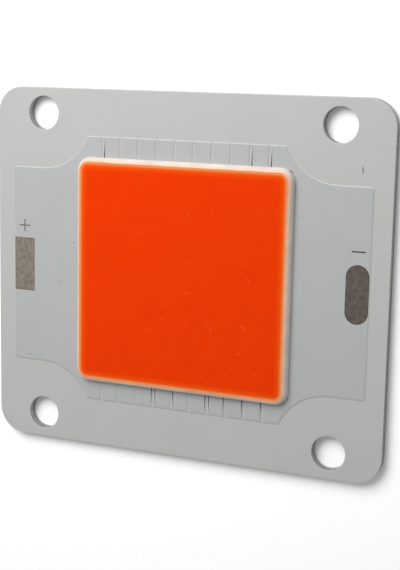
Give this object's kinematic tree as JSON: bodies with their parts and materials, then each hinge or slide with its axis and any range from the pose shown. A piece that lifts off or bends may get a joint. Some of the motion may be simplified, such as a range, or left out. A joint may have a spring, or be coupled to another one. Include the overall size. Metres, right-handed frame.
{
  "type": "cob led",
  "caption": "Square light-emitting surface of phosphor gel over flip chips, on an aluminium-core board with screw holes at its corners and a solder pad at each end.",
  "frame": {"origin": "centre of the board's back face, which rests on the heat sink", "axes": "+X from the positive pad to the negative pad, along the board's length; +Y along its width; +Z out of the light-emitting face"},
  "size_m": [0.046, 0.04, 0.0021],
  "materials": {
    "aluminium": "sheared and drilled plate, satin",
    "dielectric": "filled epoxy layer, matt",
    "copper": "etched copper foil",
    "white_mask": "printed white solder mask, satin, lightly soiled",
    "tinned_pad": "dull tinned copper, mottled",
    "white_silicone": "white silicone bead, glossy, slightly translucent",
    "solder": "reflowed solder",
    "sapphire": "sawn sapphire chip, clear",
    "phosphor_silicone": "orange phosphor silicone gel, smooth and glossy, lightly dusty"
  },
  "bodies": {
    "root": {"base_plate": "aluminium", "dielectric_layer": "dielectric", "positive_bus": "copper", "copper_strip_1": "copper", "copper_strip_2": "copper", "copper_strip_3": "copper", "copper_strip_4": "copper", "copper_strip_5": "copper", "copper_strip_6": "copper", "copper_strip_7": "copper", "copper_strip_8": "copper", "copper_strip_9": "copper", "negative_bus": "copper", "solder_mask": "white_mask", "positive_pad": "tinned_pad", "negative_pad": "tinned_pad", "dam": "white_silicone", "solder_joints_1": "solder", "solder_joints_2": "solder", "solder_joints_3": "solder", "solder_joints_4": "solder", "solder_joints_5": "solder", "solder_joints_6": "solder", "solder_joints_7": "solder", "solder_joints_8": "solder", "solder_joints_9": "solder", "solder_joints_10": "solder", "led_chips_1": "sapphire", "led_chips_2": "sapphire", "led_chips_3": "sapphire", "led_chips_4": "sapphire", "led_chips_5": "sapphire", "led_chips_6": "sapphire", "led_chips_7": "sapphire", "led_chips_8": "sapphire", "led_chips_9": "sapphire", "led_chips_10": "sapphire", "phosphor_gel": "phosphor_silicone"}
  },
  "joints": []
}
